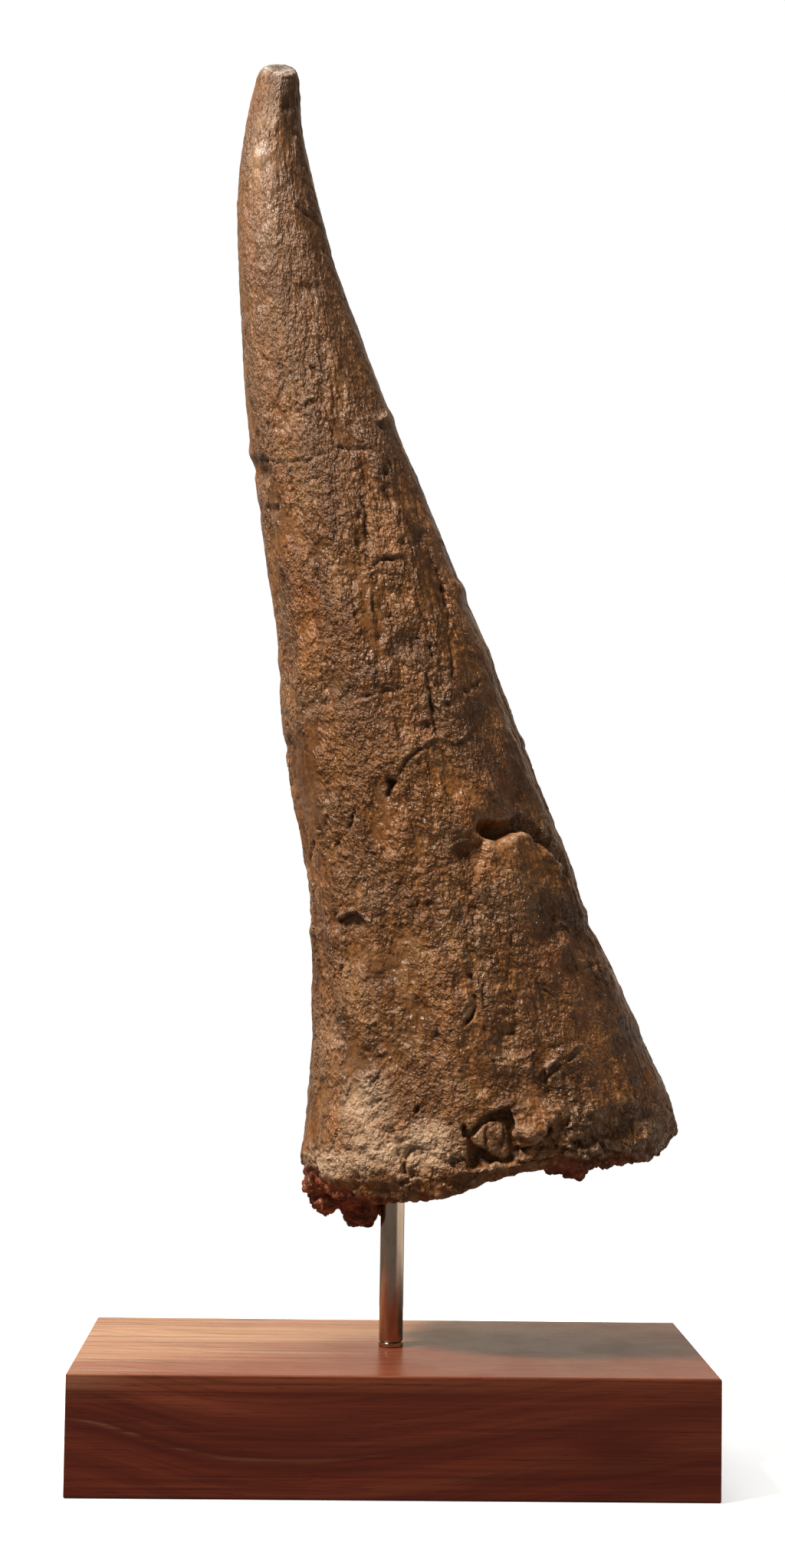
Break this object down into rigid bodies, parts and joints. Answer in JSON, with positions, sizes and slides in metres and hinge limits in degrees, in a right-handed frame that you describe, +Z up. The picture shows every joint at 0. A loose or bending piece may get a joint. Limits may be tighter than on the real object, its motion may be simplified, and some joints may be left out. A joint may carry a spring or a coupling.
{
  "type": "fossil triceratops horn",
  "caption": "Tall, slightly bowed fossil brow horn with a broken base, held up by a steel rod and washer in a rectangular hardwood block.",
  "frame": {"origin": "centre of the block's underside, straight below the rod", "axes": "+Z up along the rod, +X to the right along the block's long side as seen from the front, and the front faces -Y"},
  "size_m": [0.4064, 0.2032, 0.9394],
  "materials": {
    "fossil_bone": "weathered brown fossil bone under a thin, patchy gloss of consolidant, redder and matt where it is broken",
    "rod_steel": "satin, brushed round the rod",
    "red_hardwood": "straight-grained red hardwood under a clear satin varnish"
  },
  "bodies": {
    "root": {"horn": "fossil_bone", "rod": "rod_steel", "washer": "rod_steel", "block": "red_hardwood"}
  },
  "joints": []
}
